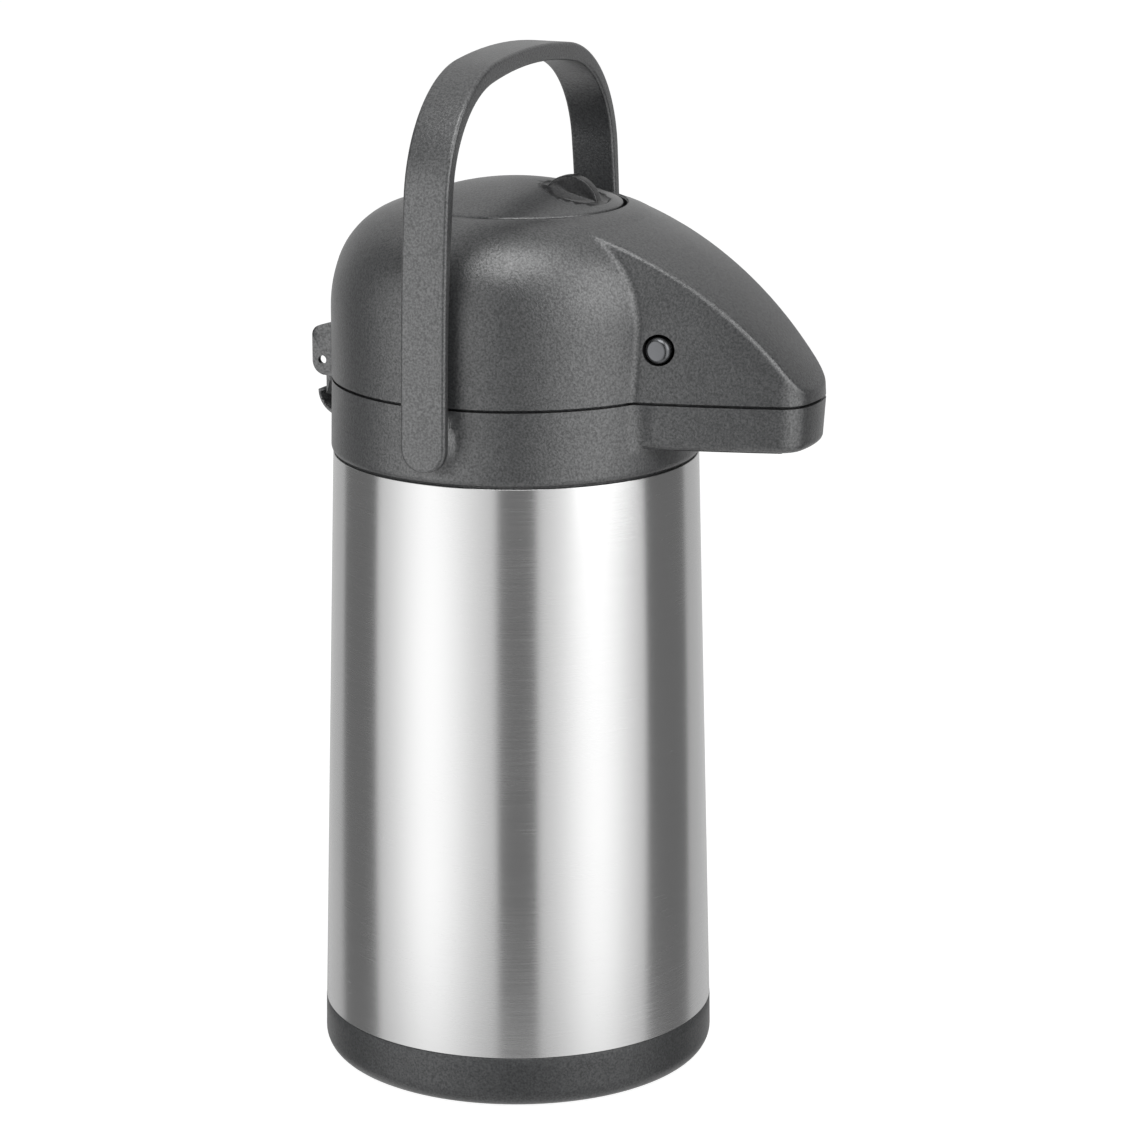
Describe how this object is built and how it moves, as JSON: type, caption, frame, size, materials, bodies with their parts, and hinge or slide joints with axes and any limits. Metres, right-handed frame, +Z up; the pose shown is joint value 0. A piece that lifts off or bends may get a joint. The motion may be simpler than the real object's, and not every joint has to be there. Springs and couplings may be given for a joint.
{
  "type": "airpot",
  "caption": "Pump vacuum jug with a brushed steel body, hinged dark lid with a beak spout, press plate with lock knob, side release buttons and a swinging strap handle.",
  "frame": {"origin": "centre of the flat resting face under the base, on the jug's axis", "axes": "+Z up along the jug's axis, +X towards the spout, +Y to the jug's left side"},
  "size_m": [0.2236, 0.1786, 0.4317],
  "materials": {
    "charcoal_plastic": "fine satin grain",
    "black_plastic": "satin",
    "inner_plastic": "satin",
    "steel_casing": "fine brushing around the body",
    "steel_flask": "satin",
    "steel_hardware": "plain",
    "seal_rubber": "silicone",
    "bellows_rubber": "soft, translucent",
    "tube_plastic": "smooth",
    "button_plastic": "smooth"
  },
  "bodies": {
    "jug": {"base_cup": "charcoal_plastic", "base_cap": "black_plastic", "flask_cushion": "seal_rubber", "outer_casing": "steel_casing", "flask_outer_wall": "steel_flask", "flask_inner_wall": "steel_flask", "neck_gasket": "seal_rubber", "mouth_ring": "inner_plastic", "collar": "charcoal_plastic", "riser_tube": "tube_plastic", "riser_seal": "seal_rubber", "discharge_pipe": "tube_plastic", "spout_nozzle": "black_plastic", "spout_cover": "black_plastic", "cover_screws": "steel_hardware", "hinge_pin": "steel_hardware"},
    "handle": {"handle": "charcoal_plastic", "handle_pin_left": "black_plastic", "handle_pin_right": "black_plastic"},
    "lid": {"lid_shell": "charcoal_plastic", "lid_underplate": "inner_plastic", "lid_screws": "steel_hardware", "lid_gasket": "seal_rubber", "check_valve": "seal_rubber", "bellows": "bellows_rubber", "return_spring": "steel_hardware"},
    "press_plate": {"press_plate": "charcoal_plastic", "pump_head": "inner_plastic"},
    "lock_knob": {"lock_knob": "black_plastic", "lock_cam": "inner_plastic"},
    "release_button_left": {"release_button_left": "button_plastic", "latch_left": "inner_plastic"},
    "release_button_right": {"release_button_right": "button_plastic", "latch_right": "inner_plastic"}
  },
  "joints": [
    {"name": "handle_swing", "type": "hinge", "parent": "jug", "child": "handle", "pos_m": [0, 0, 0.2805], "axis": [0, 1, 0], "range_deg": [-140, 140]},
    {"name": "lid_hinge", "type": "hinge", "parent": "jug", "child": "lid", "pos_m": [-0.0805, 0, 0.2925], "axis": [0, -1, 0], "range_deg": [0, 25]},
    {"name": "press_stroke", "type": "slide", "parent": "lid", "child": "press_plate", "axis": [0, 0, -1], "range_m": [0, 0.03], "stiffness_N_per_m": 300, "springref_m": -0.02, "deforming": ["bellows", "return_spring"]},
    {"name": "lock_turn", "type": "hinge", "parent": "press_plate", "child": "lock_knob", "pos_m": [0.027, 0, 0.3736], "axis": [0.2477, 0, 0.9688], "range_deg": [0, 90]},
    {"name": "release_left", "type": "slide", "parent": "lid", "child": "release_button_left", "axis": [0, -1, 0], "range_m": [0, 0.0025], "stiffness_N_per_m": 600, "springref_m": -0.002},
    {"name": "release_right", "type": "slide", "parent": "lid", "child": "release_button_right", "axis": [0, 1, 0], "range_m": [0, 0.0025], "stiffness_N_per_m": 600, "springref_m": -0.002}
  ]
}
